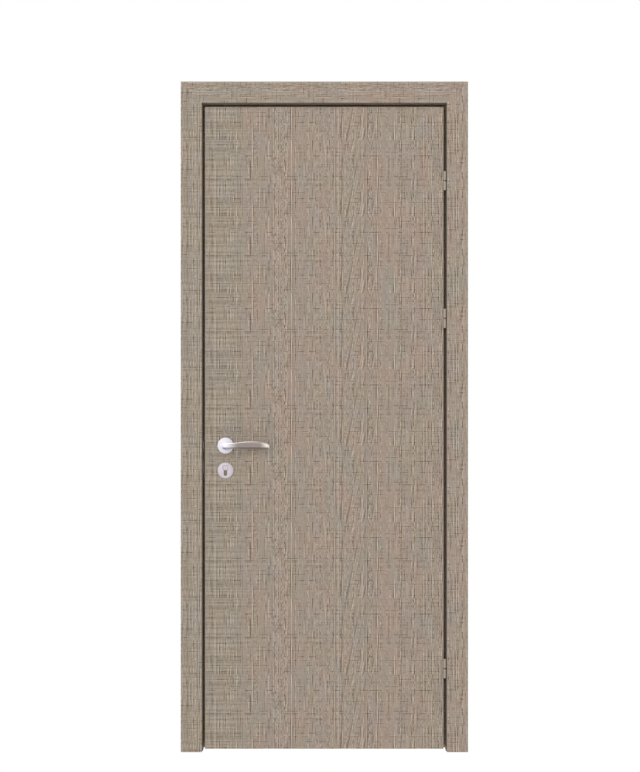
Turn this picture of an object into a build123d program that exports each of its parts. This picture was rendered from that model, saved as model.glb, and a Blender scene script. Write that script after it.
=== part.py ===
"""Interior door: a flush leaf in a wall lining with mitred casings, knuckle hinges and lever handles.

Units are millimetres. X runs across the wall towards the hinge side, Y runs through the wall
towards the back and Z is up. X = 0 is the wall face of the hinge jamb, Y = 0 the middle of the
wall and Z = 0 the floor.
"""
import os
from math import cos, radians, sin, sqrt, tan

from build123d import *

# Leaf: a core between two skins, with a band round its edges
LEAF_WIDTH = 750
LEAF_HEIGHT = 2018
LEAF_THICKNESS = 40
SKIN_THICKNESS = 3.5
BAND_THICKNESS = 1.5
BAND_ROUND = 0.8

# Gaps round the closed leaf
FLOOR_GAP = 6.5
HEAD_GAP = 8.5
HINGE_GAP = 7.5
LATCH_GAP = 6.5
STOP_GAP = 5

# Lining, stops and casings
LINING_THICKNESS = 30
WALL_DEPTH = 120
STOP_THICKNESS = 12
STOP_DEPTH = 30
STOP_ROUND = 2
CASING_WIDTH = 66
CASING_THICKNESS = 16
CASING_ROUND = 2
REVEAL = 2.2

# Dark seal strip in the reveal: a foot on the lining and a fin along the casing
SEAL_THICKNESS = 1.2
SEAL_FIN = 4
SEAL_END_GAP = 2

# Hinges: two knuckles on a pin, the lower one on the frame
TOP_HINGE_DROP = 233
MIDDLE_HINGE_DROP = 665
BOTTOM_HINGE_RISE = 254
HINGE_HEIGHT = 60
HINGE_PLATE = 1.6
HINGE_PLATE_DEPTH = 28
HINGE_CORNER = 8
HINGE_OFFSET = 5
HINGE_COLLAR = 4
HINGE_COLLAR_STEP = 1.2
HINGE_CAP = 3
KNUCKLE_ROUND = 0.8
PIN_FIT = 0.05
KNUCKLE_SEAT = 0.3

# Mortise lock, strike and profile cylinder
BACKSET = 65
HANDLE_HEIGHT = 960
LOCK_CENTRES = 70
FOREND_WIDTH = 22
FOREND_HEIGHT = 235
FOREND_THICKNESS = 3
FOREND_CORNER = 5
FOREND_DROP = 32
CASE_THICKNESS = 15
CASE_HEIGHT = 165
CASE_BEHIND_SPINDLE = 25
LATCH_WIDTH = 12
LATCH_HEIGHT = 24
LATCH_BEVEL = 9.6
BOLT_WIDTH = 12
BOLT_HEIGHT = 34
BOLT_LENGTH = 40
BOLT_FIT = 0.4
STRIKE_WIDTH = 24
STRIKE_HEIGHT = 170
STRIKE_THICKNESS = 2
STRIKE_ROOM = 3
KEEP_DEPTH = 20
PROFILE_RADIUS = 8.5
PROFILE_LEG = 10
PROFILE_HEIGHT = 33
PROFILE_FIT = 0.4
CYLINDER_LENGTH = 50
PLUG_RADIUS = 7.3
PLUG_LENGTH = 18
PLUG_PROUD = 3
PLUG_FIT = 0.1
KEYWAY_WIDTH = 2.4
KEYWAY_HEIGHT = 8
KEYWAY_DROP = 1
KEYWAY_DEPTH = 4

# Roses and escutcheons
ROSE_DIAMETER = 50
ROSE_HEIGHT = 9
ROSE_DOME = 1.2
ROSE_BEVEL_WIDTH = 5.5
ROSE_BEVEL_DROP = 2
ROSE_ROUND = 1

# Lever: a round neck that bends into a long grip, swelling towards its end, with a flat face in front and a
# bevel below it
LEVER_LENGTH = 140
LEVER_HEIGHT = 26.7
LEVER_THICKNESS = 12
LEVER_PROJECTION = 50
LEVER_FACE = 3.3
LEVER_FACE_TILT = 7
LEVER_BEVEL_TILT = 30
LEVER_BEVEL_DROP = 3.5
NECK_DIAMETER = 22
NECK_FIT = 0.3
BEND_RADIUS = 20
BEND_STEPS = 3
SPINDLE_SIDE = 8
SPINDLE_FIT = 0.15
SPINDLE_INSERT = 20
# Each station of the grip: shares of its length, height and thickness, then rise as a share of height
GRIP_STATIONS = (
    (0.22, 0.73, 1.00, 0.06),
    (0.40, 0.86, 0.96, 0.12),
    (0.57, 0.95, 0.92, 0.14),
    (0.71, 1.00, 0.86, 0.10),
    (0.84, 0.92, 0.76, 0.035),
    (0.93, 0.71, 0.60, -0.03),
    (0.98, 0.44, 0.36, -0.035),
)

# Positions that follow from the sizes
HINGE_FACE = -LINING_THICKNESS
LEAF_RIGHT = HINGE_FACE - HINGE_GAP
LEAF_LEFT = LEAF_RIGHT - LEAF_WIDTH
LATCH_FACE = LEAF_LEFT - LATCH_GAP
FRAME_LEFT = LATCH_FACE - LINING_THICKNESS
WALL_FRONT = -WALL_DEPTH / 2
LEAF_FRONT = WALL_FRONT
LEAF_BACK = LEAF_FRONT + LEAF_THICKNESS
LEAF_MIDDLE = (LEAF_FRONT + LEAF_BACK) / 2
LEAF_TOP = FLOOR_GAP + LEAF_HEIGHT
HEAD_FACE = LEAF_TOP + HEAD_GAP
CASING_INNER = HINGE_FACE + REVEAL
CASING_TOP = HEAD_FACE + REVEAL
HINGE_LEVELS = {
    "top": LEAF_TOP - TOP_HINGE_DROP,
    "middle": LEAF_TOP - MIDDLE_HINGE_DROP,
    "bottom": FLOOR_GAP + BOTTOM_HINGE_RISE,
}
FRAME_CENTRE = (HINGE_FACE + LATCH_FACE) / 2
BARREL_RADIUS = HINGE_GAP / 2 + HINGE_PLATE
PIN_RADIUS = HINGE_GAP / 2
AXIS_X = HINGE_FACE - HINGE_GAP / 2
AXIS_Y = LEAF_FRONT - HINGE_OFFSET
SPINDLE_X = LEAF_LEFT + BACKSET
CYLINDER_Z = HANDLE_HEIGHT - LOCK_CENTRES
PROFILE_MIDDLE = CYLINDER_Z + PROFILE_RADIUS - PROFILE_HEIGHT / 2
FOREND_Z = HANDLE_HEIGHT - FOREND_DROP

LEAF_PLANE = Plane.XZ.offset(-LEAF_MIDDLE)
DOOR_PLANE = Plane.YZ.offset(FRAME_CENTRE)
HINGE_PLANE = Plane.YZ.offset(AXIS_X)


def block(x, y, z):
    """A box between a low and a high limit on each axis."""
    size = [high - low for low, high in (x, y, z)]
    middle = [(high + low) / 2 for low, high in (x, y, z)]
    return Pos(*middle) * Box(*size)


def facing_front(x, y, z):
    """A plane that faces the front of the door, with its own Y axis up."""
    return Plane((x, y, z), x_dir=(1, 0, 0), z_dir=(0, -1, 0))


def facing_jamb(x, y, z):
    """A plane that faces the latch jamb, with its own X axis up."""
    return Plane((x, y, z), x_dir=(0, 0, 1), z_dir=(-1, 0, 0))


def mitre_plane(side):
    """The 45 degree plane of one top corner, facing up: side is 1 at the hinges and -1 at the latch."""
    x = FRAME_CENTRE + side * (CASING_INNER - FRAME_CENTRE)
    return Plane((x, 0, CASING_TOP), x_dir=(0, 1, 0), z_dir=(-side, 0, 1))


def casing_profile():
    """Section of a casing: X from its inner edge outwards, Y from the wall to its face."""
    board = Pos(CASING_WIDTH / 2, CASING_THICKNESS / 2) * Rectangle(CASING_WIDTH, CASING_THICKNESS)
    return fillet(board.vertices().group_by(Axis.Y)[-1], CASING_ROUND)


def seal_profile():
    """Section of the seal strip, in the same axes as the casing's."""
    foot = Pos(-REVEAL / 2, SEAL_THICKNESS / 2) * Rectangle(REVEAL, SEAL_THICKNESS)
    fin = Pos(-SEAL_THICKNESS / 2, SEAL_FIN / 2) * Rectangle(SEAL_THICKNESS, SEAL_FIN)
    return foot + fin


def upright_strip(profile):
    """A profile run down the hinge side of the doorway, mitred at the top."""
    top = CASING_TOP + CASING_WIDTH
    start = Plane((CASING_INNER, WALL_FRONT, top), x_dir=(1, 0, 0), z_dir=(0, 0, -1))
    strip = extrude(start.location * profile, amount=top)
    return split(strip, bisect_by=mitre_plane(1), keep=Keep.BOTTOM)


def head_strip(profile):
    """A profile run across the head of the doorway, mitred at both ends."""
    half = CASING_INNER - FRAME_CENTRE + CASING_WIDTH
    start = Plane((FRAME_CENTRE - half, WALL_FRONT, CASING_TOP), x_dir=(0, 0, 1), z_dir=(1, 0, 0))
    strip = extrude(start.location * profile, amount=2 * half)
    for side in (-1, 1):
        strip = split(strip, bisect_by=mitre_plane(side), keep=Keep.TOP)
    return strip


def turn_to_back(piece):
    """A front piece turned about the upright line in the middle of the doorway."""
    return Pos(FRAME_CENTRE, 0, 0) * Rot(0, 0, 180) * Pos(-FRAME_CENTRE, 0, 0) * piece


def casings():
    """The six mitred casings, three on each face of the wall."""
    upright = upright_strip(casing_profile())
    opposite = mirror(upright, about=DOOR_PLANE)
    head = head_strip(casing_profile())
    return {
        "front_hinge_casing": upright,
        "front_latch_casing": opposite,
        "front_head_casing": head,
        "rear_hinge_casing": turn_to_back(opposite),
        "rear_latch_casing": turn_to_back(upright),
        "rear_head_casing": turn_to_back(head),
    }


def seals():
    """The three seal strips; the one at the hinges stops short of each barrel."""
    upright = upright_strip(seal_profile())
    hinge_side = upright
    reach = HINGE_HEIGHT / 2 + SEAL_END_GAP
    for level in HINGE_LEVELS.values():
        hinge_side -= block(
            (HINGE_FACE - REVEAL, CASING_INNER + REVEAL),
            (WALL_FRONT - 2 * SEAL_FIN, WALL_FRONT + SEAL_FIN),
            (level - reach, level + reach),
        )
    return {
        "hinge_seal": hinge_side,
        "latch_seal": mirror(upright, about=DOOR_PLANE),
        "head_seal": head_strip(seal_profile()),
    }


def stop_bar(x, z, edges_along):
    """One planted stop behind the leaf, with its exposed arrises rounded."""
    front = LEAF_BACK + STOP_GAP
    bar = block(x, (front, front + STOP_DEPTH), z)
    towards_opening = {
        "hinge": bar.faces().sort_by(Axis.X)[0],
        "latch": bar.faces().sort_by(Axis.X)[-1],
        "head": bar.faces().sort_by(Axis.Z)[0],
    }[edges_along]
    long_edges = towards_opening.edges().sort_by(Edge.length)[-2:]
    return fillet(long_edges, STOP_ROUND)


def stops():
    """The stops planted on the jambs, and the head stop fitted between them."""
    hinge_inner = HINGE_FACE - STOP_THICKNESS
    latch_inner = LATCH_FACE + STOP_THICKNESS
    return {
        "hinge_stop": stop_bar((hinge_inner, HINGE_FACE), (0, HEAD_FACE), "hinge"),
        "latch_stop": stop_bar((LATCH_FACE, latch_inner), (0, HEAD_FACE), "latch"),
        "head_stop": stop_bar((latch_inner, hinge_inner), (HEAD_FACE - STOP_THICKNESS, HEAD_FACE), "head"),
    }


def hinge_plate(level):
    """Flat plate of a hinge in the face of the jamb, round at its two rear corners."""
    outline = RectangleRounded(HINGE_HEIGHT, 2 * HINGE_PLATE_DEPTH, HINGE_CORNER)
    start = Plane((HINGE_FACE, LEAF_FRONT, level), x_dir=(0, 0, 1), z_dir=(1, 0, 0))
    plate = extrude(start.location * outline, amount=HINGE_PLATE)
    behind = (LEAF_FRONT, LEAF_FRONT + 2 * HINGE_PLATE_DEPTH)
    ends = (level - HINGE_HEIGHT, level + HINGE_HEIGHT)
    return plate & block((HINGE_FACE, HINGE_FACE + HINGE_PLATE), behind, ends)


def knuckle(low, high, bore_low, bore_high, bore_radius):
    """One knuckle on the hinge axis, with the web that joins it to its plate on the jamb side."""
    barrel = Pos(AXIS_X, AXIS_Y, (low + high) / 2) * Cylinder(BARREL_RADIUS, high - low)
    barrel = fillet(barrel.edges().filter_by(GeomType.CIRCLE), KNUCKLE_ROUND)
    web = block((HINGE_FACE, HINGE_FACE + HINGE_PLATE), (AXIS_Y, LEAF_FRONT), (low, high))
    bore_middle = (bore_low + bore_high) / 2
    bore = Pos(AXIS_X, AXIS_Y, bore_middle) * Cylinder(bore_radius, bore_high - bore_low)
    return barrel + web - bore


def hinge(name, level):
    """A hinge: frame half with the lower knuckle, pin with its collar, door half with the upper knuckle."""
    bottom = level - HINGE_HEIGHT / 2
    top = level + HINGE_HEIGHT / 2
    collar_low = level - HINGE_COLLAR / 2
    collar_high = level + HINGE_COLLAR / 2
    pin_top = top - HINGE_CAP - KNUCKLE_SEAT
    lower = knuckle(bottom, collar_low, bottom, collar_low, PIN_RADIUS + PIN_FIT)
    upper = knuckle(collar_high, top, collar_high, top - HINGE_CAP, PIN_RADIUS + PIN_FIT)
    pin = Pos(AXIS_X, AXIS_Y, (bottom + pin_top) / 2) * Cylinder(PIN_RADIUS, pin_top - bottom)
    collar_height = HINGE_COLLAR - KNUCKLE_SEAT
    collar_middle = collar_low + collar_height / 2
    collar_radius = BARREL_RADIUS - HINGE_COLLAR_STEP
    collar = Pos(AXIS_X, AXIS_Y, collar_middle) * Cylinder(collar_radius, collar_height)
    return {
        f"{name}_hinge_frame_plate": hinge_plate(level) + lower,
        f"{name}_hinge_pin": pin + collar,
        f"{name}_hinge_door_plate": mirror(hinge_plate(level) + upper, about=HINGE_PLANE),
    }


def profile_hole(fit):
    """Outline of a profile cylinder about its plug axis, let out by a fit on every side."""
    leg_bottom = PROFILE_HEIGHT - PROFILE_RADIUS - PROFILE_LEG / 2
    leg = Pos(0, -leg_bottom / 2) * Rectangle(PROFILE_LEG + 2 * fit, leg_bottom)
    return Circle(PROFILE_RADIUS + fit) + leg + Pos(0, -leg_bottom) * Circle(PROFILE_LEG / 2 + fit)


def profile_cut(fit):
    """The profile hole taken right through the leaf and both escutcheons."""
    half = LEAF_THICKNESS / 2 + ROSE_HEIGHT
    start = facing_front(SPINDLE_X, LEAF_MIDDLE, CYLINDER_Z)
    return extrude(start.location * profile_hole(fit), amount=half, both=True)


def round_cut(radius):
    """A round hole on the spindle axis, taken right through the leaf and both roses."""
    half = LEAF_THICKNESS / 2 + ROSE_HEIGHT
    start = facing_front(SPINDLE_X, LEAF_MIDDLE, HANDLE_HEIGHT)
    return extrude(start.location * Circle(radius), amount=half, both=True)


def forend_plate(fit):
    """The lock's forend, flush with the latch edge of the leaf."""
    outline = RectangleRounded(FOREND_HEIGHT + 2 * fit, FOREND_WIDTH + 2 * fit, FOREND_CORNER)
    start = facing_jamb(LEAF_LEFT + FOREND_THICKNESS, LEAF_MIDDLE, FOREND_Z)
    return extrude(start.location * outline, amount=FOREND_THICKNESS)


def lock_body(fit):
    """The lock's case behind its forend."""
    inner = SPINDLE_X + CASE_BEHIND_SPINDLE + fit
    half = CASE_THICKNESS / 2 + fit
    middle = FOREND_Z
    return block(
        (LEAF_LEFT + FOREND_THICKNESS, inner),
        (LEAF_MIDDLE - half, LEAF_MIDDLE + half),
        (middle - CASE_HEIGHT / 2 - fit, middle + CASE_HEIGHT / 2 + fit),
    )


def bolt_block(width, height, length, level):
    """A bolt drawn back until its end is flush with the forend."""
    return block(
        (LEAF_LEFT, LEAF_LEFT + length),
        (LEAF_MIDDLE - width / 2, LEAF_MIDDLE + width / 2),
        (level - height / 2, level + height / 2),
    )


def latch_bolt():
    """The latch, bevelled on the side that meets the strike first when the leaf closes."""
    bolt = bolt_block(LATCH_WIDTH, LATCH_HEIGHT, BOLT_LENGTH, HANDLE_HEIGHT)
    nose = bolt.edges().filter_by(Axis.Z).group_by(Axis.X)[0].sort_by(Axis.Y)[-1]
    return chamfer(nose, LATCH_BEVEL)


def lock():
    """The mortise lock with its two bolts, profile cylinder and key plugs."""
    room = 2 * BOLT_FIT
    case = forend_plate(0) + lock_body(0)
    case -= bolt_block(LATCH_WIDTH + room, LATCH_HEIGHT + room, BOLT_LENGTH + BOLT_FIT, HANDLE_HEIGHT)
    case -= bolt_block(BOLT_WIDTH + room, BOLT_HEIGHT + room, BOLT_LENGTH + BOLT_FIT, CYLINDER_Z)
    case -= round_cut(SPINDLE_SIDE / sqrt(2) + BOLT_FIT)
    case -= profile_cut(PROFILE_FIT)
    start = facing_front(SPINDLE_X, LEAF_MIDDLE, CYLINDER_Z)
    body = extrude(start.location * profile_hole(0), amount=CYLINDER_LENGTH / 2, both=True)
    outer_end = facing_front(SPINDLE_X, LEAF_MIDDLE - CYLINDER_LENGTH / 2, CYLINDER_Z)
    bore = extrude(outer_end.location * Circle(PLUG_RADIUS + PLUG_FIT), amount=-PLUG_LENGTH - PLUG_FIT)
    body = body - bore - mirror(bore, about=LEAF_PLANE)
    plug_end = outer_end.offset(PLUG_PROUD)
    plug = extrude(plug_end.location * Circle(PLUG_RADIUS), amount=-PLUG_LENGTH - PLUG_PROUD)
    keyway = Pos(0, -KEYWAY_DROP) * Rectangle(KEYWAY_WIDTH, KEYWAY_HEIGHT)
    plug -= extrude(plug_end.location * keyway, amount=-KEYWAY_DEPTH)
    return {
        "mortise_lock": case,
        "latch_bolt": latch_bolt(),
        "dead_bolt": bolt_block(BOLT_WIDTH, BOLT_HEIGHT, BOLT_LENGTH, CYLINDER_Z),
        "lock_cylinder": body,
        "front_key_plug": plug,
        "rear_key_plug": mirror(plug, about=LEAF_PLANE),
    }


def keeps(extra, depth):
    """The latch and bolt windows of the strike, taken to a depth behind the jamb face."""
    windows = []
    for width, height, level in (
        (LATCH_WIDTH, LATCH_HEIGHT, HANDLE_HEIGHT),
        (BOLT_WIDTH, BOLT_HEIGHT, CYLINDER_Z),
    ):
        half_width = width / 2 + extra
        half_height = height / 2 + extra
        windows.append(
            block(
                (LATCH_FACE - depth, LATCH_FACE + STRIKE_THICKNESS),
                (LEAF_MIDDLE - half_width, LEAF_MIDDLE + half_width),
                (level - half_height, level + half_height),
            )
        )
    return windows[0] + windows[1]


def strike_blank():
    """The strike plate before its windows are cut, let into the latch jamb."""
    level = (HANDLE_HEIGHT + CYLINDER_Z) / 2
    outline = RectangleRounded(STRIKE_HEIGHT, STRIKE_WIDTH, FOREND_CORNER)
    start = facing_jamb(LATCH_FACE, LEAF_MIDDLE, level)
    return extrude(start.location * outline, amount=STRIKE_THICKNESS)


def lining():
    """Jambs, head and strike: the recesses are cut with the same bodies that fill them."""
    depth = (WALL_FRONT, -WALL_FRONT)
    hinge_jamb = block((HINGE_FACE, 0), depth, (0, HEAD_FACE))
    for level in HINGE_LEVELS.values():
        hinge_jamb -= hinge_plate(level)
    latch_jamb = block((FRAME_LEFT, LATCH_FACE), depth, (0, HEAD_FACE))
    latch_jamb = latch_jamb - strike_blank() - keeps(STRIKE_ROOM, KEEP_DEPTH)
    return {
        "hinge_jamb": hinge_jamb,
        "latch_jamb": latch_jamb,
        "head_jamb": block((FRAME_LEFT, 0), depth, (HEAD_FACE, HEAD_FACE + LINING_THICKNESS)),
        "strike_plate": strike_blank() - keeps(STRIKE_ROOM / 2, KEEP_DEPTH),
    }


def edge_band(x, z, outer_face):
    """One edge band, as thick as the leaf is deep, with rounded outer arrises."""
    band = block(x, (LEAF_FRONT, LEAF_BACK), z)
    axis, index = outer_face
    arrises = band.faces().sort_by(axis)[index].edges().sort_by(Edge.length)[-2:]
    return fillet(arrises, BAND_ROUND)


def leaf():
    """The leaf: core, two skins and four edge bands, cut for the hinges and the lock."""
    inner_x = (LEAF_LEFT + BAND_THICKNESS, LEAF_RIGHT - BAND_THICKNESS)
    inner_z = (FLOOR_GAP + BAND_THICKNESS, LEAF_TOP - BAND_THICKNESS)
    whole_z = (FLOOR_GAP, LEAF_TOP)
    core_y = (LEAF_FRONT + SKIN_THICKNESS, LEAF_BACK - SKIN_THICKNESS)
    recess = [mirror(hinge_plate(level), about=HINGE_PLANE) for level in HINGE_LEVELS.values()]
    hole = NECK_DIAMETER / 2 + NECK_FIT
    through = round_cut(hole) + profile_cut(2 * PROFILE_FIT)
    core = block(inner_x, core_y, inner_z) - recess - through - forend_plate(0) - lock_body(BOLT_FIT)
    front = block(inner_x, (LEAF_FRONT, core_y[0]), inner_z) - recess - through
    rear = block(inner_x, (core_y[1], LEAF_BACK), inner_z) - through
    hinge_band = edge_band((inner_x[1], LEAF_RIGHT), whole_z, (Axis.X, -1)) - recess
    latch_band = edge_band((LEAF_LEFT, inner_x[0]), whole_z, (Axis.X, 0)) - forend_plate(0)
    return {
        "leaf_core": core,
        "front_skin": front,
        "rear_skin": rear,
        "hinge_edge_band": hinge_band,
        "latch_edge_band": latch_band,
        "top_edge_band": edge_band(inner_x, (inner_z[1], LEAF_TOP), (Axis.Z, -1)),
        "bottom_edge_band": edge_band(inner_x, (FLOOR_GAP, inner_z[0]), (Axis.Z, 0)),
    }


def cover(x, z):
    """A round cover plate on the front of the leaf, domed in the middle and bevelled to its rim."""
    radius = ROSE_DIAMETER / 2
    inner = radius - ROSE_BEVEL_WIDTH
    shoulder = ROSE_HEIGHT - ROSE_DOME
    rim_height = shoulder - ROSE_BEVEL_DROP
    outline = Polyline((0, ROSE_HEIGHT), (0, 0), (radius, 0), (radius, rim_height), (inner, shoulder))
    outline += ThreePointArc((inner, shoulder), (inner / 2, ROSE_HEIGHT - ROSE_DOME / 4), (0, ROSE_HEIGHT))
    disc = revolve(make_face(Plane.XZ * outline), Axis.Z)
    rims = disc.edges().filter_by(lambda edge: edge.is_closed).sort_by(Axis.Z)[-2:]
    return facing_front(x, LEAF_FRONT, z).location * fillet(rims, ROSE_ROUND)


def covers():
    """Roses for the lever necks and escutcheons for the profile cylinder, on both faces."""
    rose = cover(SPINDLE_X, HANDLE_HEIGHT) - round_cut(NECK_DIAMETER / 2 + NECK_FIT)
    escutcheon = cover(SPINDLE_X, PROFILE_MIDDLE) - profile_cut(PROFILE_FIT)
    return {
        "front_rose": rose,
        "rear_rose": mirror(rose, about=LEAF_PLANE),
        "front_escutcheon": escutcheon,
        "rear_escutcheon": mirror(escutcheon, about=LEAF_PLANE),
    }


def lever_section(x, y, rise, heading, height, thickness):
    """One upright oval section of the lever, in two halves; heading turns from out of the leaf to along."""
    along = (sin(heading), -cos(heading), 0)
    plane = Plane((x, y, rise), x_dir=(0, 0, 1), z_dir=along)
    radii = (height / 2, thickness / 2)
    halves = [EllipticalCenterArc((0, 0), *radii, start_angle=start, arc_size=180) for start in (-90, 90)]
    return plane.location * make_face(halves)


def lever_cut(depth, drop, degrees):
    """Plane along the grip, looking forward and down, set in front of its middle and below it."""
    tilt = radians(degrees)
    origin = (0, -LEVER_PROJECTION - depth, -drop)
    return Plane(origin, x_dir=(1, 0, 0), z_dir=(0, -cos(tilt), -sin(tilt)))


def lever():
    """The front lever: a turned neck and a loft that bends round and swells, cut flat in front and below."""
    neck_end = -(LEVER_PROJECTION - BEND_RADIUS)
    first = GRIP_STATIONS[0]
    sections = []
    for step in range(BEND_STEPS + 1):
        turn = step / BEND_STEPS
        heading = radians(90) * turn
        blend = turn**2
        height = NECK_DIAMETER + (first[1] * LEVER_HEIGHT - NECK_DIAMETER) * blend
        thickness = NECK_DIAMETER + (first[2] * LEVER_THICKNESS - NECK_DIAMETER) * blend
        rise = first[3] * LEVER_HEIGHT * blend / 2
        x = BEND_RADIUS * (1 - cos(heading))
        y = neck_end - BEND_RADIUS * sin(heading)
        sections.append(lever_section(x, y, rise, heading, height, thickness))
    for along, tall, thick, lift in GRIP_STATIONS:
        x = along * LEVER_LENGTH
        height = tall * LEVER_HEIGHT
        thickness = thick * LEVER_THICKNESS
        rise = lift * LEVER_HEIGHT
        sections.append(lever_section(x, -LEVER_PROJECTION, rise, radians(90), height, thickness))
    tip = Vertex(LEVER_LENGTH, -LEVER_PROJECTION, rise)
    grip = loft([section.face() for section in sections] + [tip])
    bevel_face = LEVER_FACE - LEVER_BEVEL_DROP * tan(radians(LEVER_FACE_TILT))
    grip = split(grip, bisect_by=lever_cut(LEVER_FACE, 0, LEVER_FACE_TILT), keep=Keep.BOTTOM)
    grip = split(grip, bisect_by=lever_cut(bevel_face, LEVER_BEVEL_DROP, LEVER_BEVEL_TILT), keep=Keep.BOTTOM)
    root = facing_front(0, -NECK_FIT, 0)
    neck = extrude(root.location * Circle(NECK_DIAMETER / 2), amount=-neck_end - NECK_FIT)
    side = SPINDLE_SIDE + 2 * SPINDLE_FIT
    socket = extrude(root.location * Rectangle(side, side), amount=SPINDLE_INSERT)
    return Pos(SPINDLE_X, LEAF_FRONT, HANDLE_HEIGHT) * (neck + grip - socket)


def handle():
    """Both levers and the square spindle that joins them through the lock."""
    front = lever()
    half = LEAF_THICKNESS / 2 + SPINDLE_INSERT
    start = facing_front(SPINDLE_X, LEAF_MIDDLE, HANDLE_HEIGHT)
    bar = extrude(start.location * Rectangle(SPINDLE_SIDE, SPINDLE_SIDE), amount=half, both=True)
    return {"front_lever": front, "rear_lever": mirror(front, about=LEAF_PLANE), "spindle": bar}


def door():
    """Every piece of the door by its node name."""
    parts = {}
    for group in (lining(), stops(), casings(), seals(), leaf(), lock(), covers(), handle()):
        parts.update(group)
    for name, level in HINGE_LEVELS.items():
        parts.update(hinge(name, level))
    return parts


os.makedirs("parts", exist_ok=True)
for node, solid in door().items():
    export_step(solid, f"parts/{node}.step")
    print(node, round(solid.volume), solid.bounding_box())
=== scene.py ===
# %% [markdown]
# # An interior door, dressed
# The door comes in as a frame of solid pieces at real size: lining, stops, casings, leaf, hinges, lock and
# levers. Nothing is moved here. This lesson gives every piece its finish, adds the small screws that hold
# the metalwork, and sets up the light and the camera.

# %% Load the frame
from collections import namedtuple
from math import atan, pi, radians

import bpy
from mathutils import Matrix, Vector


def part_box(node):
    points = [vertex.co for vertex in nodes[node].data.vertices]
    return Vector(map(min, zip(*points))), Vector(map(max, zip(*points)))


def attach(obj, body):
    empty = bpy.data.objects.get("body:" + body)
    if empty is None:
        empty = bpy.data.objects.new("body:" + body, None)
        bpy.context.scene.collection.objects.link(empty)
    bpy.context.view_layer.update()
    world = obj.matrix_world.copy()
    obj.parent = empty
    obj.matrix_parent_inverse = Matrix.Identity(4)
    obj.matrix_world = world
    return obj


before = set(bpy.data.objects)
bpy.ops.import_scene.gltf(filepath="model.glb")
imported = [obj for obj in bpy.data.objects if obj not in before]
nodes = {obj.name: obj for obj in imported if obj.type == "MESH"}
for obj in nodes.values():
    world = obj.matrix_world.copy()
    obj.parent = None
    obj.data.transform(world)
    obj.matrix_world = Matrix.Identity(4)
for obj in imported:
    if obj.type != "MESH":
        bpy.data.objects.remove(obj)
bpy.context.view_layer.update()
scene = bpy.context.scene

# %% [markdown]
# ## Camera
# The photograph looks straight at the door, level, from a few metres away. Three pixel places are enough to
# set such a camera: the top, the foot and the middle of the door in the picture. They give the scale at the
# face of the casings, and from it the height and the side step of the lens. No shift is needed, because the
# lens may simply stand where the picture's centre is.

# %% Camera
PICTURE_WIDTH = 640
PICTURE_HEIGHT = 772
DOOR_TOP_PIXEL = 81.4
DOOR_FOOT_PIXEL = 752.2
DOOR_MIDDLE_PIXEL = 324.4
CAMERA_DISTANCE = 4.5

casing_low, casing_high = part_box("front_hinge_casing")
door_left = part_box("front_latch_casing")[0].x
door_right = casing_high.x
door_top = casing_high.z
face_y = casing_low.y
door_middle = (door_left + door_right) / 2
metres_per_pixel = door_top / (DOOR_FOOT_PIXEL - DOOR_TOP_PIXEL)
camera_x = door_middle - (DOOR_MIDDLE_PIXEL - PICTURE_WIDTH / 2) * metres_per_pixel
camera_z = (DOOR_FOOT_PIXEL - PICTURE_HEIGHT / 2) * metres_per_pixel

lens = bpy.data.cameras.new("door_camera")
lens.sensor_fit = "VERTICAL"
lens.angle = 2 * atan(PICTURE_HEIGHT * metres_per_pixel / 2 / CAMERA_DISTANCE)
camera = bpy.data.objects.new("door_camera", lens)
camera.location = (camera_x, face_y - CAMERA_DISTANCE, camera_z)
camera.rotation_euler = (radians(90), 0, 0)
scene.collection.objects.link(camera)
scene.camera = camera
print("scale:", round(metres_per_pixel * 1000, 3), "mm per pixel, lens", round(lens.lens, 1), "mm")

# %% [markdown]
# ## Helpers for shader nodes
# A finish is a small tree of nodes. A few helpers keep the trees readable. The first makes a node and fills
# its sockets, with plain values or with links, and the others are the steps that the finishes share: sums,
# smooth limits, mixed colours, and noise that is drawn out along the grain.

# %% Node helpers


def add(tree, kind, sockets=None, **options):
    """Make a node; sockets maps an input's name or number to a value or to another node's output."""
    made = tree.nodes.new(kind)
    for option, value in options.items():
        setattr(made, option, value)
    for key, value in (sockets or {}).items():
        if isinstance(value, bpy.types.NodeSocket):
            tree.links.new(value, made.inputs[key])
        else:
            made.inputs[key].default_value = value
    return made


def math(tree, operation, *values):
    """The result of one arithmetic step."""
    return add(tree, "ShaderNodeMath", dict(enumerate(values)), operation=operation).outputs[0]


def part_of(tree, vector, axis):
    """One coordinate of a vector: 0, 1 or 2 for X, Y or Z."""
    return add(tree, "ShaderNodeSeparateXYZ", {0: vector}).outputs[axis]


def between(tree, value, low, high):
    """0 at low, 1 at high, and a smooth step between; low may be the larger one."""
    sockets = {"Value": value, "From Min": low, "From Max": high}
    return add(tree, "ShaderNodeMapRange", sockets, interpolation_type="SMOOTHSTEP").outputs[0]


def mix_colours(tree, factor, first, second):
    """A colour between two others."""
    return add(tree, "ShaderNodeMix", {0: factor, 6: first, 7: second}, data_type="RGBA").outputs[2]


def streaks(tree, place, across, along, seed, detail=2.0):
    """Noise drawn out along the grain: cells per metre across and along it, with mean one half."""
    sockets = {0: place, 1: (across, across, along), 2: (seed, seed * 1.7, seed * 2.3)}
    stretched = add(tree, "ShaderNodeVectorMath", sockets, operation="MULTIPLY_ADD").outputs[0]
    noise = {"Vector": stretched, "Scale": 1.0, "Detail": detail}
    return add(tree, "ShaderNodeTexNoise", noise).outputs[0]


def weigh(tree, total, pattern, weight):
    """Add a pattern with mean one half to a sum, so that the sum keeps its mean."""
    centred = math(tree, "SUBTRACT", pattern, 0.5)
    return math(tree, "MULTIPLY_ADD", centred, weight, total)


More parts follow.
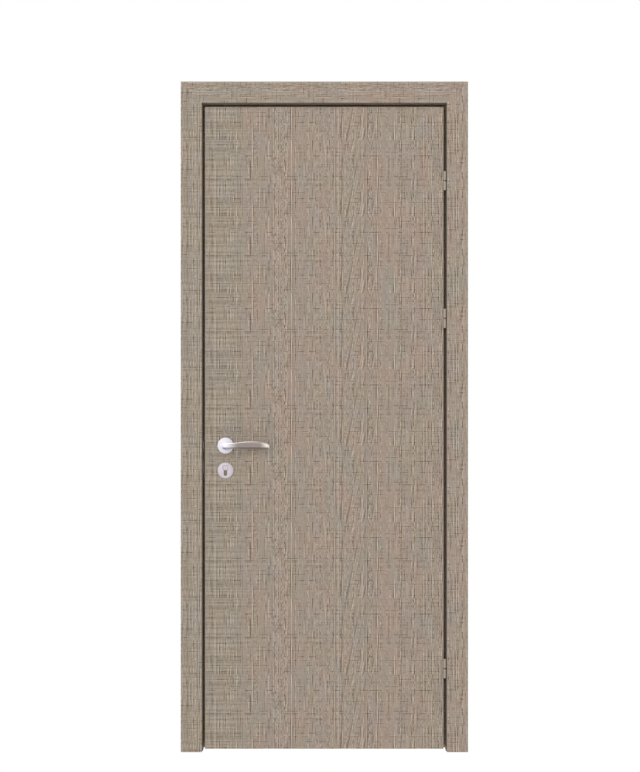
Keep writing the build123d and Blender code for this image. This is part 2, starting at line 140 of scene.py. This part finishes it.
def srgb(red, green, blue):
    """A colour read off in 0 to 255 steps, as the linear colour that a shader takes."""
    steps = [value / 255 for value in (red, green, blue)]
    linear = [v / 12.92 if v <= 0.04045 else ((v + 0.055) / 1.055) ** 2.4 for v in steps]
    return (*linear, 1.0)


print("helpers ready")

# %% [markdown]
# ## Oak laminate
# The real surface is a printed laminate that imitates saw-cut oak in grey taupe. Close to, it is a
# cross-hatch of dead straight lines: upright fibres a few millimetres wide that come and go in short
# lengths, and thin level saw marks across them, so that from a distance it looks almost woven. Stretched
# noise would bend such lines, so each family of lines is a one-dimensional noise, which cannot bend, and a
# second, blotchy noise breaks it into lengths. Like the real print, the pattern repeats along the grain.
#
# One node group draws it for every board. Its inputs say how strong the fibres are at a place, and how much
# of three extras it has: a level ripple with a greener tint, long leaning feathers, and a painted highlight
# that pales the wood.

# %% Oak laminate pattern
OAK_DARK = srgb(119, 104, 91)
OAK_LIGHT = srgb(175, 161, 148)
PINK = (1.016, 0.9935, 0.998, 1.0)
GREEN = (0.958, 1.011, 0.996, 1.0)
WARM = (1.02, 1.0, 0.974, 1.0)
COOL = (0.98, 1.0, 1.026, 1.0)
REPEAT = 0.24

# A family: its lines to a metre, its blotches to a metre across and along, its strength, and two seeds.
Family = namedtuple("Family", "lines across along strength line_seed blotch_seed")
SHORT_FIBRES = Family(205.0, 150.0, 110.0, 7.5, 11.0, 1.3)
MEDIUM_FIBRES = Family(225.0, 70.0, 17.0, 9.0, 57.0, 5.9)
LONG_FIBRES = Family(260.0, 40.0, 12.0, 1.6, 93.0, 8.1)
SAW_MARKS = Family(260.0, 45.0, 90.0, 1.6, 41.0, 2.2)
FEATHERS = Family(170.0, 30.0, 7.0, 1.3, 23.0, 6.6)
RIPPLES = Family(40.0, 45.0, 25.0, 0.27, 71.0, 3.7)
FADE_IN = (0.48, 0.62)
PALEST_SAW_MARK = 0.05
FEATHER_LEAN = -0.2
RIPPLE_RATE = 390.0
RIPPLE_WANDER = 9.0
PORE_LIMITS = (0.62, 0.74)
PORE_STRENGTH = -0.15
HAIR_STRENGTH = 0.45
# Painted highlight: how much paler the wood is painted along the long edges of each board.
EDGE_HIGHLIGHT_STRENGTH = 0.1
DARKEST_TONE = -0.3
RIPPLE_TO_GREEN = 2.0
MOST_GREEN_CLOUD = 0.9
CLOUD_LIMITS = (0.35, 0.65)


def lines(tree, direction, count, seed):
    """Straight lines of random tone: noise that changes along one direction only."""
    place = math(tree, "MULTIPLY_ADD", direction, count, seed)
    sockets = {"W": place, "Scale": 1.0, "Detail": 0.0}
    return add(tree, "ShaderNodeTexNoise", sockets, noise_dimensions="1D").outputs[0]


def tones_and_blotches(tree, family, direction, place):
    """The two noises of a family: its lines, centred on zero, and its blotches."""
    tones = lines(tree, direction, family.lines, family.line_seed)
    blotches = streaks(tree, place, family.across, family.along, family.blotch_seed, 1.0)
    return math(tree, "SUBTRACT", tones, 0.5), blotches


def hatch(tree, family, direction, place):
    """Lines broken into lengths: where the blotches change sign, a dark line turns into a light one."""
    tones, blotches = tones_and_blotches(tree, family, direction, place)
    return math(tree, "MULTIPLY", tones, math(tree, "SUBTRACT", blotches, 0.5))


def fading(tree, family, direction, place):
    """Lines that come and go: the blotches fade them in over a third of the surface."""
    tones, blotches = tones_and_blotches(tree, family, direction, place)
    return math(tree, "MULTIPLY", tones, between(tree, blotches, *FADE_IN))


oak = bpy.data.node_groups.new("saw_cut_oak", "ShaderNodeTree")
oak.interface.new_socket("Place", in_out="INPUT", socket_type="NodeSocketVector")
for name in ("Fibres", "Ripple", "Feather", "Edge Highlight"):
    oak.interface.new_socket(name, in_out="INPUT", socket_type="NodeSocketFloat")
oak.interface.new_socket("Colour", in_out="OUTPUT", socket_type="NodeSocketColor")
oak.interface.new_socket("Relief", in_out="OUTPUT", socket_type="NodeSocketFloat")
given = add(oak, "NodeGroupInput").outputs
place = given["Place"]
across = math(oak, "ADD", part_of(oak, place, 0), part_of(oak, place, 1))
along = math(oak, "WRAP", part_of(oak, place, 2), REPEAT, 0.0)
print_place = add(oak, "ShaderNodeCombineXYZ", {0: across, 2: along}).outputs[0]

short_fibres = hatch(oak, SHORT_FIBRES, across, print_place)
medium_fibres = hatch(oak, MEDIUM_FIBRES, across, print_place)
long_fibres = fading(oak, LONG_FIBRES, across, print_place)
saw_marks = math(oak, "MINIMUM", fading(oak, SAW_MARKS, along, print_place), PALEST_SAW_MARK)
leaning = math(oak, "MULTIPLY_ADD", along, FEATHER_LEAN, across)
feathers = fading(oak, FEATHERS, leaning, print_place)
wander = lines(oak, along, RIPPLES.lines, RIPPLES.line_seed)
rate = math(oak, "MULTIPLY", along, RIPPLE_RATE)
swell = math(oak, "SINE", math(oak, "MULTIPLY_ADD", wander, RIPPLE_WANDER, rate))
fabric = streaks(oak, print_place, RIPPLES.across, RIPPLES.along, RIPPLES.blotch_seed)
ripples = math(oak, "MULTIPLY", swell, fabric)
pores = between(oak, streaks(oak, print_place, 260.0, 20.0, 7.3, 1.0), *PORE_LIMITS)
hair = streaks(oak, print_place, 1100.0, 30.0, 9.4)
print("oak pattern:", len(oak.nodes), "nodes draw the lines")

# %% [markdown]
# The families add up to one tone, from dark to light oak. The tone chooses the colour, and slow clouds tint
# it pink or green, warm or cool, as the print does from board to board. The same tone leaves the group as
# relief.

# %% Oak laminate colour
tone = math(oak, "MULTIPLY", short_fibres, SHORT_FIBRES.strength)
tone = math(oak, "MULTIPLY_ADD", medium_fibres, MEDIUM_FIBRES.strength, tone)
tone = math(oak, "MULTIPLY_ADD", tone, given["Fibres"], weigh(oak, 0.5, hair, HAIR_STRENGTH))
for pattern, strength in (
    (long_fibres, LONG_FIBRES.strength),
    (saw_marks, SAW_MARKS.strength),
    (pores, PORE_STRENGTH),
    (math(oak, "MULTIPLY", ripples, given["Ripple"]), RIPPLES.strength),
    (math(oak, "MULTIPLY", feathers, given["Feather"]), FEATHERS.strength),
    # painted highlight along the long edges of the board
    (given["Edge Highlight"], EDGE_HIGHLIGHT_STRENGTH),
):
    tone = math(oak, "MULTIPLY_ADD", pattern, strength, tone)
tone = math(oak, "MAXIMUM", tone, DARKEST_TONE)

green_side = math(oak, "MINIMUM", math(oak, "MULTIPLY", given["Ripple"], RIPPLE_TO_GREEN), 1.0)
cloud = between(oak, streaks(oak, place, 15.0, 7.0, 3.1), *CLOUD_LIMITS)
green = math(oak, "MAXIMUM", math(oak, "MULTIPLY", cloud, MOST_GREEN_CLOUD), green_side)
coolness = between(oak, streaks(oak, place, 22.0, 9.0, 4.2), *CLOUD_LIMITS)
tones = {0: tone, 6: OAK_DARK, 7: OAK_LIGHT}
coloured = add(oak, "ShaderNodeMix", tones, data_type="RGBA", clamp_factor=False).outputs[2]
tint = mix_colours(oak, green, PINK, GREEN)
glow = mix_colours(oak, coolness, WARM, COOL)
tinted = add(oak, "ShaderNodeVectorMath", {0: tint, 1: glow}, operation="MULTIPLY").outputs[0]
coloured = add(oak, "ShaderNodeVectorMath", {0: coloured, 1: tinted}, operation="MULTIPLY").outputs[0]
add(oak, "NodeGroupOutput", {"Colour": coloured, "Relief": tone})
print("oak pattern:", len(oak.nodes), "nodes in all")

# %% [markdown]
# ## One laminate per board
# Boards cut from one sheet never show the same stretch of it, and the head pieces lie with their grain
# level. So each board has its own material: the same group, with a Mapping node that slides the pattern by
# an amount of its own and turns it where the board lies across. The relief also drives a shallow bump.
#
# In the photograph the latch side of the leaf is rippled and greener, and a band of feathers runs up the
# middle of the leaf, so the front skin raises those inputs by place. The latch casings have some ripple as
# well. The casings differ in the strength of their fibres, and every board gets a painted highlight along
# its long edges, a paler strip that stands in for light caught by the rounded edge.

# %% Laminate boards
LEVEL_BOARDS = (
    "front_head_casing", "rear_head_casing", "head_jamb", "head_stop", "top_edge_band", "bottom_edge_band",
)
UPRIGHT_BOARDS = (
    "front_skin", "rear_skin", "hinge_edge_band", "latch_edge_band", "hinge_jamb", "latch_jamb",
    "hinge_stop", "latch_stop", "front_hinge_casing", "front_latch_casing", "rear_hinge_casing",
    "rear_latch_casing",
)
LAMINATE_ROUGHNESS = 0.7
LAMINATE_SHEEN = 0.12
RELIEF_DEPTH = 0.0003
RELIEF_STRENGTH = 0.15
BOARD_SLIDE = (0.37, 0.53, 0.71)
RIPPLE_FULL = 0.06
RIPPLE_END = 0.16
FEATHER_MIDDLE = 0.48
FEATHER_REACH = 0.1
# Width of the painted highlight along each board's long edges, in metres.
EDGE_HIGHLIGHT_WIDTH = 0.012
CASING_RIPPLE = 0.45
FIBRES_AT_RIPPLE = 0.7
FIBRE_STRENGTH = {"head_casing": 0.65, "latch_casing": 0.95, "hinge_casing": 1.25}
leaf_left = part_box("front_skin")[0].x


def new_finish(name):
    """An empty node material with its surface shader."""
    finish = bpy.data.materials.new(name)
    finish.use_nodes = True
    return finish, finish.node_tree, finish.node_tree.nodes["Principled BSDF"]


def here(tree):
    """The place on the piece, in metres of the shared frame."""
    return add(tree, "ShaderNodeTexCoord").outputs["Object"]


def painted_edge_highlight(tree, place, board, level):
    """Painted highlight: one along a board's long edges, where the rounded edge catches light; zero
    mid-board.
    """
    low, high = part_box(board)
    size = high - low
    sides = (1, 2) if level else (0, 1)
    axis = max(sides, key=lambda side: size[side])
    from_middle = math(tree, "SUBTRACT", part_of(tree, place, axis), (low[axis] + high[axis]) / 2)
    aside = math(tree, "ABSOLUTE", from_middle)
    return between(tree, aside, size[axis] / 2 - EDGE_HIGHLIGHT_WIDTH, size[axis] / 2)


def vary_leaf(tree, place, pattern):
    """On the front of the leaf: ripple towards the latch edge, and feathers up the middle."""
    across = part_of(tree, place, 0)
    rising = between(tree, across, leaf_left + RIPPLE_END, leaf_left + RIPPLE_FULL)
    fibres = math(tree, "MULTIPLY_ADD", rising, FIBRES_AT_RIPPLE - 1.0, 1.0)
    aside = math(tree, "ABSOLUTE", math(tree, "SUBTRACT", across, leaf_left + FEATHER_MIDDLE))
    tree.links.new(rising, pattern.inputs["Ripple"])
    tree.links.new(fibres, pattern.inputs["Fibres"])
    tree.links.new(between(tree, aside, FEATHER_REACH, FEATHER_REACH / 2), pattern.inputs["Feather"])


def laminate(board, number, level):
    """The oak laminate for one board."""
    finish, tree, shader = new_finish("oak_" + board)
    place = here(tree)
    turn = (0, radians(90), 0) if level else (0, 0, 0)
    slide = [amount * number for amount in BOARD_SLIDE]
    sockets = {"Vector": place, "Location": slide, "Rotation": turn}
    pattern = add(tree, "ShaderNodeGroup", node_tree=oak)
    tree.links.new(add(tree, "ShaderNodeMapping", sockets).outputs[0], pattern.inputs["Place"])
    pattern.inputs["Fibres"].default_value = FIBRE_STRENGTH.get(board.partition("_")[2], 1.0)
    if board == "front_skin":
        vary_leaf(tree, place, pattern)
    elif "latch_casing" in board:
        pattern.inputs["Ripple"].default_value = CASING_RIPPLE
    # The long edges get a painted highlight, standing in for light caught by the rounded edge.
    tree.links.new(painted_edge_highlight(tree, place, board, level), pattern.inputs["Edge Highlight"])
    bump = {"Height": pattern.outputs["Relief"], "Strength": RELIEF_STRENGTH, "Distance": RELIEF_DEPTH}
    tree.links.new(pattern.outputs["Colour"], shader.inputs["Base Color"])
    tree.links.new(add(tree, "ShaderNodeBump", bump).outputs[0], shader.inputs["Normal"])
    shader.inputs["Roughness"].default_value = LAMINATE_ROUGHNESS
    shader.inputs["Specular IOR Level"].default_value = LAMINATE_SHEEN
    return finish


def paint(names, finish):
    """Give pieces of the frame a finish through their own material slots."""
    for name in names:
        for slot in nodes[name].material_slots:
            slot.material = finish


for number, board in enumerate(UPRIGHT_BOARDS + LEVEL_BOARDS):
    paint([board], laminate(board, number, board in LEVEL_BOARDS))
print("laminated boards:", len(UPRIGHT_BOARDS) + len(LEVEL_BOARDS))

# %% [markdown]
# ## Metal
# One function makes every metal: a shader whose roughness and colour wander a little, with hair-fine
# strokes as a bump. A full metal mirrors its surroundings, so a lower metallic value gives the soft pearl
# of the plates. Colour and metallic value may each be a plain value or a function that reads the place on
# the piece.

# %% Satin metal
STROKES_ACROSS = 900.0
STROKES_ALONG = 60.0
STAINS = 40.0
STROKE_SHINE = 0.1
STAIN_SHINE = 0.12
SHADE_CHANGE = 0.12
STROKE_STRENGTH = 0.15
STROKE_DEPTH = 0.0001


def satin_metal(name, colour, roughness, metallic=1.0):
    """A satin metal with fine strokes along Z and slow stains in its shine."""
    finish, tree, shader = new_finish(name)
    place = here(tree)
    strokes = streaks(tree, place, STROKES_ACROSS, STROKES_ALONG, 4.4)
    stain = streaks(tree, place, STAINS, STAINS, 1.9)
    shine = weigh(tree, weigh(tree, roughness, strokes, STROKE_SHINE), stain, STAIN_SHINE)
    shade = weigh(tree, weigh(tree, 1.0, strokes, SHADE_CHANGE), stain, SHADE_CHANGE)
    plain = colour(tree) if callable(colour) else colour[:3]
    tinted = add(tree, "ShaderNodeVectorMath", {0: plain, "Scale": shade}, operation="SCALE").outputs[0]
    bump = {"Height": strokes, "Strength": STROKE_STRENGTH, "Distance": STROKE_DEPTH}
    tree.links.new(tinted, shader.inputs["Base Color"])
    tree.links.new(shine, shader.inputs["Roughness"])
    tree.links.new(add(tree, "ShaderNodeBump", bump).outputs[0], shader.inputs["Normal"])
    if callable(metallic):
        tree.links.new(metallic(tree), shader.inputs["Metallic"])
    else:
        shader.inputs["Metallic"].default_value = metallic
    return finish


print("satin metal ready")

# %% [markdown]
# The lever changes along its length: a neck painted pale like the rose as a painted highlight, a nickel
# grip, painted shade on the undersides of neck and grip, and a painted highlight at the tip. The cylinder
# has a nickel ring round its plug and a leg painted dark bronze as painted shade, over the real shade of
# its recess. Both read their place from the pieces, so the changes stay where they belong.

# %% Colours by place
# The neck's pale colour and its darker copy are a lit and a shaded version of one finish: painted highlight
# and painted shade.
NECK_PAINTED_LIGHT = srgb(205, 201, 211)
NECK_SHADE = srgb(140, 134, 144)
GRIP_NICKEL = srgb(130, 120, 115)
# The grip's darker copy is painted shade for its underside.
GRIP_PAINTED_SHADE = srgb(104, 95, 90)
# A pale colour for the tip: a painted highlight.
TIP_PAINTED_HIGHLIGHT = srgb(214, 202, 193)
NECK_METAL = 0.1
GRIP_METAL = 0.6
COLOUR_CHANGE = (-0.002, 0.045)
METAL_CHANGE = (0.0, 0.045)
TIP_CHANGE = (0.108, 0.14)
# Ranges of the upward normal over which the undersides take painted shade.
GRIP_UNDERSIDE = (-0.3, -0.55)
NECK_UNDERSIDE = (-0.1, -0.65)
PLUG_NICKEL = srgb(172, 163, 167)
# Bronze of the hinge pins, also used as painted shade in the leg of the lock cylinder.
PIN_BRONZE_AND_LEG_SHADE = srgb(108, 100, 97)
RING_BOTTOM = 0.0055
LEG_TOP = 0.0075
spindle_low, spindle_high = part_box("spindle")
spindle_x = (spindle_low.x + spindle_high.x) / 2
plug_low, plug_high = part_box("front_key_plug")
plug_z = (plug_low.z + plug_high.z) / 2


def reach(tree):
    """How far along the lever a place is, from the middle of the spindle."""
    return math(tree, "SUBTRACT", part_of(tree, here(tree), 0), spindle_x)


def lever_metal(tree):
    """A soft pearl neck that turns into plainer metal along the grip."""
    along_grip = between(tree, reach(tree), *METAL_CHANGE)
    return math(tree, "MULTIPLY_ADD", along_grip, GRIP_METAL - NECK_METAL, NECK_METAL)


def lever_colour(tree):
    """Pale neck and tip as painted highlights, nickel along the grip, painted shade under neck and grip."""
    outwards = reach(tree)
    facing_up = part_of(tree, add(tree, "ShaderNodeTexCoord").outputs["Normal"], 2)
    # Painted highlight at the tip, and painted shade where grip and neck face down.
    grip = mix_colours(tree, between(tree, outwards, *TIP_CHANGE), GRIP_NICKEL, TIP_PAINTED_HIGHLIGHT)
    grip = mix_colours(tree, between(tree, facing_up, *GRIP_UNDERSIDE), grip, GRIP_PAINTED_SHADE)
    neck = mix_colours(tree, between(tree, facing_up, *NECK_UNDERSIDE), NECK_PAINTED_LIGHT, NECK_SHADE)
    return mix_colours(tree, between(tree, outwards, *COLOUR_CHANGE), neck, grip)


def cylinder_colour(tree):
    """Dark bronze in the cylinder's leg as painted shade, nickel in the ring round its plug."""
    height = part_of(tree, here(tree), 2)
    ring = between(tree, height, plug_z - LEG_TOP, plug_z - RING_BOTTOM)
    return mix_colours(tree, ring, PIN_BRONZE_AND_LEG_SHADE, PLUG_NICKEL)


print("lever read from x", round(spindle_x, 4), "and cylinder from z", round(plug_z, 4))

# %% [markdown]
# Now each metal goes to its pieces: pearl roses and escutcheons, nickel levers and plugs, taupe hinge
# plates on bronze pins, and plain brushed steel for the lock.

# %% Metal finishes
ROSE_PEARL = srgb(212, 209, 217)
ESCUTCHEON_PEARL = srgb(190, 181, 188)
HINGE_TAUPE = srgb(158, 146, 133)
LOCK_STEEL = srgb(190, 190, 188)
HINGES = ("top", "middle", "bottom")
SIDES = ("front", "rear")
HALVES = ("frame_plate", "door_plate")
finishes = {
    satin_metal("pearl_rose", ROSE_PEARL, 0.6, 0.4): [f"{side}_rose" for side in SIDES],
    satin_metal("pearl_escutcheon", ESCUTCHEON_PEARL, 0.6, 0.4): [f"{side}_escutcheon" for side in SIDES],
    satin_metal("lever_nickel", lever_colour, 0.38, lever_metal): [f"{side}_lever" for side in SIDES],
    satin_metal("plug_nickel", PLUG_NICKEL, 0.35): [f"{side}_key_plug" for side in SIDES],
    # the cylinder's leg takes painted shade in dark bronze
    satin_metal("cylinder_nickel_and_painted_shade", cylinder_colour, 0.45): ["lock_cylinder"],
    satin_metal("hinge_steel", HINGE_TAUPE, 0.6, 0.3):
        [f"{hinge}_hinge_{half}" for hinge in HINGES for half in HALVES],
    satin_metal("pin_bronze", PIN_BRONZE_AND_LEG_SHADE, 0.45): [f"{hinge}_hinge_pin" for hinge in HINGES],
    satin_metal("lock_steel", LOCK_STEEL, 0.38):
        ["mortise_lock", "latch_bolt", "dead_bolt", "strike_plate", "spindle"],
}
for finish, names in finishes.items():
    paint(names, finish)
print("metal finishes:", len(finishes))

# %% [markdown]
# ## Seal and core
# The dark line round the leaf is a brown rubber strip, matt, with a little dust in its grain. Its dark
# brown also stands in as painted shade for the deep gap round the leaf. The core hardly shows: it is raw
# board, seen only inside the lock's pocket, so flecks in two browns are enough.

# %% Seal and core finishes
# Dark brown of the seal, partly its own colour and partly painted shade for the deep gap round the leaf.
SEAL_BROWN_AND_SHADE = srgb(92, 80, 66)
SEAL_DUST = srgb(108, 95, 80)
BOARD_PALE = srgb(196, 168, 128)
BOARD_DARK = srgb(150, 120, 84)
FLECK_LIMITS = (0.42, 0.66)
FLECK_STRENGTH = 0.3


def flecked(name, first, second, cells, roughness, depth):
    """A matt finish with flecks of a second colour and a grainy surface."""
    finish, tree, shader = new_finish(name)
    flecks = streaks(tree, here(tree), cells, cells, 2.8, 4.0)
    colour = mix_colours(tree, between(tree, flecks, *FLECK_LIMITS), first, second)
    tree.links.new(colour, shader.inputs["Base Color"])
    bump = {"Height": flecks, "Strength": FLECK_STRENGTH, "Distance": depth}
    tree.links.new(add(tree, "ShaderNodeBump", bump).outputs[0], shader.inputs["Normal"])
    shader.inputs["Roughness"].default_value = roughness
    return finish


# The seal's dark brown is partly painted shade for the gap round the leaf.
seal_and_painted_shade = flecked("brown_seal_and_painted_shade", SEAL_BROWN_AND_SHADE, SEAL_DUST, 900.0, 0.8, 0.0001)
paint(("hinge_seal", "latch_seal", "head_seal"), seal_and_painted_shade)
paint(("leaf_core",), flecked("raw_board", BOARD_PALE, BOARD_DARK, 300.0, 0.9, 0.0003))
print("seal and core painted")

# %% [markdown]
# ## Screws
# Each hinge plate is held by three screws, the strike plate and the lock's forend by two each. They could
# be modelled once and copied by hand. Geometry Nodes do it by rule instead: points say where the heads sit,
# an attribute on each point says which way its head faces, and a head goes on every point with its cross
# turned at random, since nobody lines screws up. The copies are then made real, as one plain mesh for each
# body.

# %% Screw tree
HEAD_SIDES = 24
HEAD_TAPER = 0.8
CROSS_REACH = 1.2
QUARTER_TURN = pi / 2

screws = bpy.data.node_groups.new("cross_head_screws", "GeometryNodeTree")
screws.is_modifier = True
for name, kind in (
    ("Points", "Geometry"), ("Radius", "Float"), ("Height", "Float"), ("Cross Width", "Float"),
    ("Seed", "Int"), ("Finish", "Material"),
):
    screws.interface.new_socket(name, in_out="INPUT", socket_type="NodeSocket" + kind)
screws.interface.new_socket("Screws", in_out="OUTPUT", socket_type="NodeSocketGeometry")
asked = add(screws, "NodeGroupInput").outputs

cone = {
    "Vertices": HEAD_SIDES, "Radius Bottom": asked["Radius"], "Depth": asked["Height"],
    "Radius Top": math(screws, "MULTIPLY", asked["Radius"], HEAD_TAPER),
}
head = add(screws, "GeometryNodeMeshCone", cone).outputs["Mesh"]
crossed = add(screws, "GeometryNodeMeshBoolean", {"Mesh 1": head}, operation="DIFFERENCE")
cross_length = math(screws, "MULTIPLY", asked["Radius"], CROSS_REACH)
lift = add(screws, "ShaderNodeCombineXYZ", {2: asked["Height"]}).outputs[0]
for wide, deep in ((cross_length, asked["Cross Width"]), (asked["Cross Width"], cross_length)):
    extent = add(screws, "ShaderNodeCombineXYZ", {0: wide, 1: deep, 2: asked["Height"]}).outputs[0]
    arm = add(screws, "GeometryNodeMeshCube", {"Size": extent}).outputs["Mesh"]
    raised = add(screws, "GeometryNodeTransform", {"Geometry": arm, "Translation": lift}).outputs[0]
    screws.links.new(raised, crossed.inputs["Mesh 2"])

named = {"Name": "facing"}
facing = add(screws, "GeometryNodeInputNamedAttribute", named, data_type="FLOAT_VECTOR").outputs[0]
any_turn = {2: 0.0, 3: QUARTER_TURN, "Seed": asked["Seed"]}
turn = add(screws, "FunctionNodeRandomValue", any_turn, data_type="FLOAT").outputs[1]
upright = add(screws, "FunctionNodeAlignRotationToVector", {"Vector": facing}, axis="Z").outputs[0]
spin = add(screws, "FunctionNodeAxisAngleToRotation", {"Axis": (0, 0, 1), "Angle": turn}).outputs[0]
turned = add(screws, "FunctionNodeRotateRotation", {0: upright, 1: spin}, rotation_space="LOCAL").outputs[0]
placed = {"Points": asked["Points"], "Instance": crossed.outputs[0], "Rotation": turned}
copies = add(screws, "GeometryNodeInstanceOnPoints", placed).outputs[0]
real = add(screws, "GeometryNodeRealizeInstances", {0: copies}).outputs[0]
painted = {"Geometry": real, "Material": asked["Finish"]}
add(screws, "NodeGroupOutput", {"Screws": add(screws, "GeometryNodeSetMaterial", painted).outputs[0]})
print("screw tree:", len(screws.nodes), "nodes")

# %% [markdown]
# The places come from the plates themselves: their boxes give the height of each plate, and the edge bands
# and jambs give the faces that the plates lie flush with. On a hinge the middle screw stands forward of the
# other two.

# %% Screw places
SCREW_RADIUS = 0.0038
SCREW_HEIGHT = 0.0006
SCREW_CROSS = 0.0011
SCREW_SEED = 4
SCREW_STEEL = srgb(172, 168, 162)
HINGE_SCREW_PITCH = 0.02
HINGE_SCREW_STEP = 0.0045
PLATE_END_MARGIN = 0.01
TOWARDS_LATCH = Vector((-1, 0, 0))
TOWARDS_HINGE = Vector((1, 0, 0))


def hinge_places(half, face_x, direction):
    """Three places on each hinge plate of one half, with the way the heads face."""
    places = []
    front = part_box("front_skin")[0].y
    for hinge in HINGES:
        low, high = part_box(f"{hinge}_hinge_{half}")
        middle_y = (front + high.y) / 2
        middle_z = (low.z + high.z) / 2
        for row in (-1, 0, 1):
            step = HINGE_SCREW_STEP if row else -HINGE_SCREW_STEP
            spot = Vector((face_x, middle_y + step, middle_z + row * HINGE_SCREW_PITCH))
            places.append((spot, direction))
    return places


def end_places(plate, face_x, direction):
    """A place near each end of a lock plate."""
    low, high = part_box(plate)
    middle_y = (low.y + high.y) / 2
    levels = (low.z + PLATE_END_MARGIN, high.z - PLATE_END_MARGIN)
    return [(Vector((face_x, middle_y, level)), direction) for level in levels]


def screw_set(name, body, places, finish):
    """All screws of one body as one plain mesh."""
    mesh = bpy.data.meshes.new(name)
    mesh.from_pydata([place for place, _ in places], [], [])
    directions = mesh.attributes.new("facing", "FLOAT_VECTOR", "POINT")
    for entry, (_, direction) in zip(directions.data, places):
        entry.vector = direction
    made = bpy.data.objects.new(name, mesh)
    scene.collection.objects.link(made)
    modifier = made.modifiers.new("screws", "NODES")
    modifier.node_group = screws
    values = {
        "Radius": SCREW_RADIUS, "Height": SCREW_HEIGHT, "Cross Width": SCREW_CROSS, "Seed": SCREW_SEED,
        "Finish": finish,
    }
    for socket in screws.interface.items_tree:
        if socket.in_out == "INPUT" and socket.name in values:
            modifier[socket.identifier] = values[socket.name]
    plain = bpy.data.meshes.new_from_object(made.evaluated_get(bpy.context.evaluated_depsgraph_get()))
    made.modifiers.remove(modifier)
    made.data = plain
    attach(made, body)
    print(name, "on", body, "with", len(plain.polygons), "faces")


screw_steel = satin_metal("screw_steel", SCREW_STEEL, 0.35)
jamb_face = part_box("hinge_jamb")[0].x
strike_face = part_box("strike_plate")[1].x
leaf_edges = (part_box("latch_edge_band")[0].x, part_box("hinge_edge_band")[1].x)
frame_places = hinge_places("frame_plate", jamb_face, TOWARDS_LATCH)
frame_places += end_places("strike_plate", strike_face, TOWARDS_HINGE)
leaf_places = hinge_places("door_plate", leaf_edges[1], TOWARDS_HINGE)
leaf_places += end_places("mortise_lock", leaf_edges[0], TOWARDS_LATCH)
screw_set("frame_screws", "frame", frame_places, screw_steel)
screw_set("leaf_screws", "leaf", leaf_places, screw_steel)

# %% [markdown]
# ## Floor and light
# The photograph is a cut-out on white with very even light. So floor and surround are pure white to the
# lens, while they light the door with strengths of their own. A broad soft sun from the front and one from
# the rear do the rest. In the photograph the metal is lit from the upper left and the wood is not, so two
# more suns from there are linked to the levers and to the plates alone.

# %% Floor and light
FLOOR_SIZE = 30.0
FLOOR_LIGHT = 1.0
AMBIENT = 0.6
BROAD = radians(70)
SOFT = radians(50)
WHITE = (1, 1, 1, 1)


def lit_apart(name, *kinds):
    """A collection of the front and rear pieces of some kinds, for a light that shines on them alone."""
    group = bpy.data.collections.new(name)
    for kind in kinds:
        for side in SIDES:
            group.objects.link(nodes[f"{side}_{kind}"])
    return group


# Name, strength, angle that the sun spans, the way its light comes from, and the pieces that it is kept to.
SUNS = (
    ("front_sun", 2.1, BROAD, Vector((-0.2, -1.0, 0.0)), None),
    ("rear_sun", 1.8, BROAD, Vector((0.3, 1.0, 0.2)), None),
    ("lever_sun", 4.4, SOFT, Vector((-0.6, -0.5, 1.0)), lit_apart("levers", "lever")),
    ("plate_sun", 0.9, SOFT, Vector((-0.7, -0.6, 1.0)), lit_apart("plates", "rose", "escutcheon")),
)


def white_to_lens(tree, output, strength):
    """Pure white where the lens looks, and an even light of its own strength for everything else."""
    seen = add(tree, "ShaderNodeEmission", {"Color": WHITE, "Strength": 1.0})
    lit = add(tree, "ShaderNodeEmission", {"Color": WHITE, "Strength": strength})
    by_lens = add(tree, "ShaderNodeLightPath").outputs["Is Camera Ray"]
    mixed = add(tree, "ShaderNodeMixShader", {0: by_lens, 1: lit.outputs[0], 2: seen.outputs[0]})
    tree.links.new(mixed.outputs[0], output.inputs["Surface"])


floor_mesh = bpy.data.meshes.new("studio_floor")
half = FLOOR_SIZE / 2
corners = [(-half, -half, 0), (half, -half, 0), (half, half, 0), (-half, half, 0)]
floor_mesh.from_pydata(corners, [], [(0, 1, 2, 3)])
floor = bpy.data.objects.new("studio_floor", floor_mesh)
floor.location = (door_middle, 0, 0)
scene.collection.objects.link(floor)
white, tree, _ = new_finish("white_floor")
tree.nodes.clear()
white_to_lens(tree, add(tree, "ShaderNodeOutputMaterial"), FLOOR_LIGHT)
white.cycles.emission_sampling = "NONE"
floor_mesh.materials.append(white)

for name, strength, span, comes_from, receivers in SUNS:
    lamp = bpy.data.lights.new(name, "SUN")
    lamp.energy = strength
    lamp.angle = span
    sun = bpy.data.objects.new(name, lamp)
    sun.rotation_euler = comes_from.to_track_quat("Z", "Y").to_euler()
    sun.light_linking.receiver_collection = receivers
    scene.collection.objects.link(sun)

surround = bpy.data.worlds.new("white_surround")
scene.world = surround
surround.use_nodes = True
surround.node_tree.nodes.clear()
white_to_lens(surround.node_tree, add(surround.node_tree, "ShaderNodeOutputWorld"), AMBIENT)
scene.view_settings.view_transform = "Standard"
print("floor, surround and", len(SUNS), "suns set")
